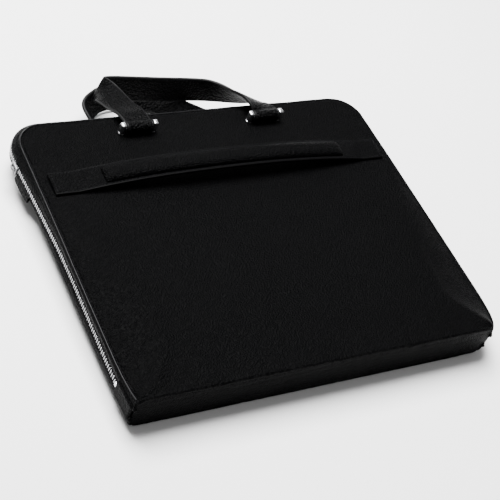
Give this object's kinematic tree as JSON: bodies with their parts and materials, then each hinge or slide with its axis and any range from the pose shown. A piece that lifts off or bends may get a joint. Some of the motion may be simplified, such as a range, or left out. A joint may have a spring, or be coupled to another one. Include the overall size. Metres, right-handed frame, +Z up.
{
  "type": "business bag",
  "caption": "Slim zipped leather business bag with flat handles on metal brackets and a padded strap across its front, lying on its back.",
  "frame": {"origin": "on the ground, under the middle of the bounding box of the bag as it lies", "axes": "+Z up, out of the front face; +X along the width, towards the side opposite the zip slider; +Y from the bottom panel towards the handles"},
  "size_m": [0.3982, 0.3954, 0.06],
  "materials": {
    "leather": "pebbled, low sheen",
    "hardware": "polished",
    "zip_metal": "polished",
    "zip_cloth": "woven"
  },
  "bodies": {
    "root": {"front_panel": "leather", "back_panel": "leather", "bottom_panel": "leather", "gusset_front": "leather", "gusset_back": "leather", "luggage_strap": "leather", "strap_pad": "leather", "handle_front": "leather", "handle_back": "leather", "zip_patch_left": "leather", "zip_patch_right": "leather", "zip_puller": "leather", "bracket_front_left": "hardware", "bracket_front_right": "hardware", "bracket_back_left": "hardware", "bracket_back_right": "hardware", "zip_slider": "hardware", "zip_chain": "zip_metal", "zip_stop_left": "zip_metal", "zip_stop_right": "zip_metal", "zip_tape": "zip_cloth"}
  },
  "joints": []
}
